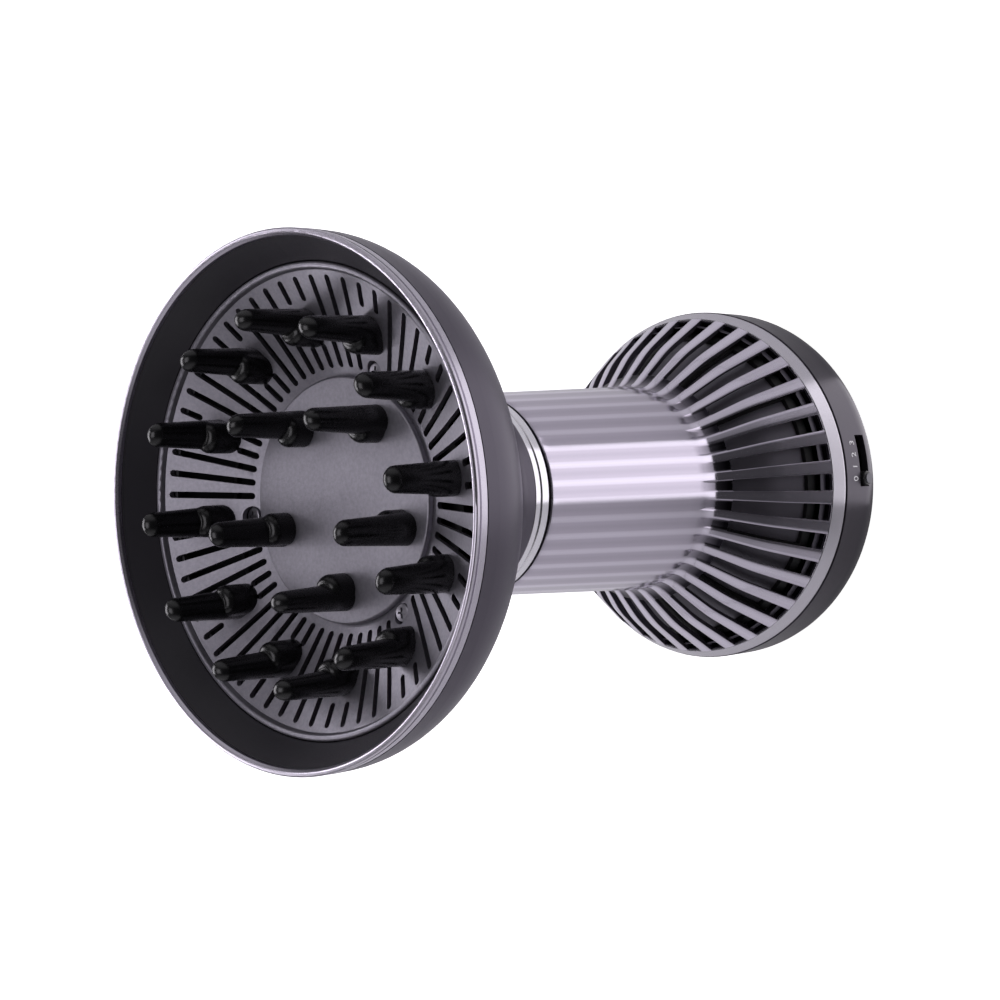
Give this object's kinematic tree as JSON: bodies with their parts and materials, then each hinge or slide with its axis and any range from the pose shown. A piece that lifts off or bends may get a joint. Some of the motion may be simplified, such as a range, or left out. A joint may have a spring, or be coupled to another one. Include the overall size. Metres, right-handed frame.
{
  "type": "diffuser hair dryer",
  "caption": "Hair dryer with a wide diffuser bowl: slotted dished grille with long round-tipped prongs, ribbed tube handle, flared air intake and a rear cap with a slide selector.",
  "frame": {"origin": "centre of the flat rear face that the dryer stands on", "axes": "+Z along the dryer's turned axis from the rear cap to the bowl's mouth; -Y towards the speed selector at position 0; +Y towards the mains lead's gland"},
  "size_m": [0.161, 0.161, 0.2459],
  "materials": {
    "rim_metal": "satin lip with a turned edge",
    "bowl_metal": "satin metallic mauve-grey lacquer",
    "liner_black": "fine matt texture",
    "grille_metal": "satin warm grey lacquer, slightly mottled",
    "screw_steel": "zinc plated",
    "duct_steel": "plain rolled",
    "duct_plastic": "heat-resistant moulding",
    "chrome_trim": "mirror polish",
    "seal_rubber": "soft matt",
    "handle_metal": "satin silver-lilac metallic lacquer",
    "filter_steel": "fine woven mesh",
    "polished_trim": "polished",
    "cap_metal": "satin dark metallic lacquer",
    "knob_black": "gloss",
    "knob_grey": "satin",
    "switch_plastic": "moulded",
    "board_green": "solder-resist",
    "capacitor_yellow": "moulded case",
    "choke_copper": "enamelled wire",
    "terminal_white": "moulded",
    "impeller_grey": "glass-filled nylon",
    "motor_steel": "plated can",
    "magnet_ferrite": "sintered",
    "armature_iron": "laminated",
    "bearing_bronze": "sintered bronze",
    "mica": "mica sheet",
    "heater_wire": "nickel-chromium wire",
    "lead_insulation": "silicone",
    "prong_black": "high gloss"
  },
  "bodies": {
    "housing": {"rim_ring": "rim_metal", "bowl_shell": "bowl_metal", "bowl_liner": "liner_black", "grille_plate": "grille_metal", "centre_disc": "grille_metal", "grille_screws": "screw_steel", "air_funnel": "duct_steel", "grille_spider": "duct_plastic", "air_deflector": "duct_steel", "neck_ring": "chrome_trim", "neck_seal": "seal_rubber", "handle_shell": "handle_metal", "filter_frame": "duct_plastic", "filter_mesh": "filter_steel", "rear_trim_ring": "polished_trim", "rear_cap": "cap_metal", "selector_switch": "switch_plastic", "circuit_board": "board_green", "board_screws": "screw_steel", "mains_capacitor": "capacitor_yellow", "filter_choke": "choke_copper", "speed_triacs": "switch_plastic", "motor_rectifier": "switch_plastic", "terminal_block": "terminal_white", "cord_gland": "seal_rubber", "fan_housing": "duct_plastic", "chassis_ring": "seal_rubber", "motor_can": "motor_steel", "motor_magnets": "magnet_ferrite", "motor_bearings": "bearing_bronze", "barrel_liner": "duct_steel", "heater_cards": "mica", "heater_sleeve": "mica", "heater_coils": "heater_wire", "thermostat": "motor_steel", "thermal_fuse": "terminal_white", "power_leads": "lead_insulation", "outer_prong_01": "prong_black", "outer_prong_02": "prong_black", "outer_prong_03": "prong_black", "outer_prong_04": "prong_black", "outer_prong_05": "prong_black", "outer_prong_06": "prong_black", "outer_prong_07": "prong_black", "outer_prong_08": "prong_black", "outer_prong_09": "prong_black", "outer_prong_10": "prong_black", "outer_prong_11": "prong_black", "outer_prong_12": "prong_black", "inner_prong_1": "prong_black", "inner_prong_2": "prong_black", "inner_prong_3": "prong_black", "inner_prong_4": "prong_black", "inner_prong_5": "prong_black"},
    "selector": {"selector_knob": "knob_black", "knob_cap": "knob_grey", "selector_carrier": "duct_plastic"},
    "rotor": {"fan_impeller": "impeller_grey", "motor_shaft": "motor_steel", "motor_armature": "armature_iron"}
  },
  "joints": [
    {"name": "selector_slide", "type": "hinge", "parent": "housing", "child": "selector", "pos_m": [0, 0, 0.018], "axis": [0, 0, 1], "range_deg": [0, 11.4]},
    {"name": "fan_spin", "type": "hinge", "parent": "housing", "child": "rotor", "pos_m": [0, 0, 0.058], "axis": [0, 0, 1], "continuous": true}
  ]
}
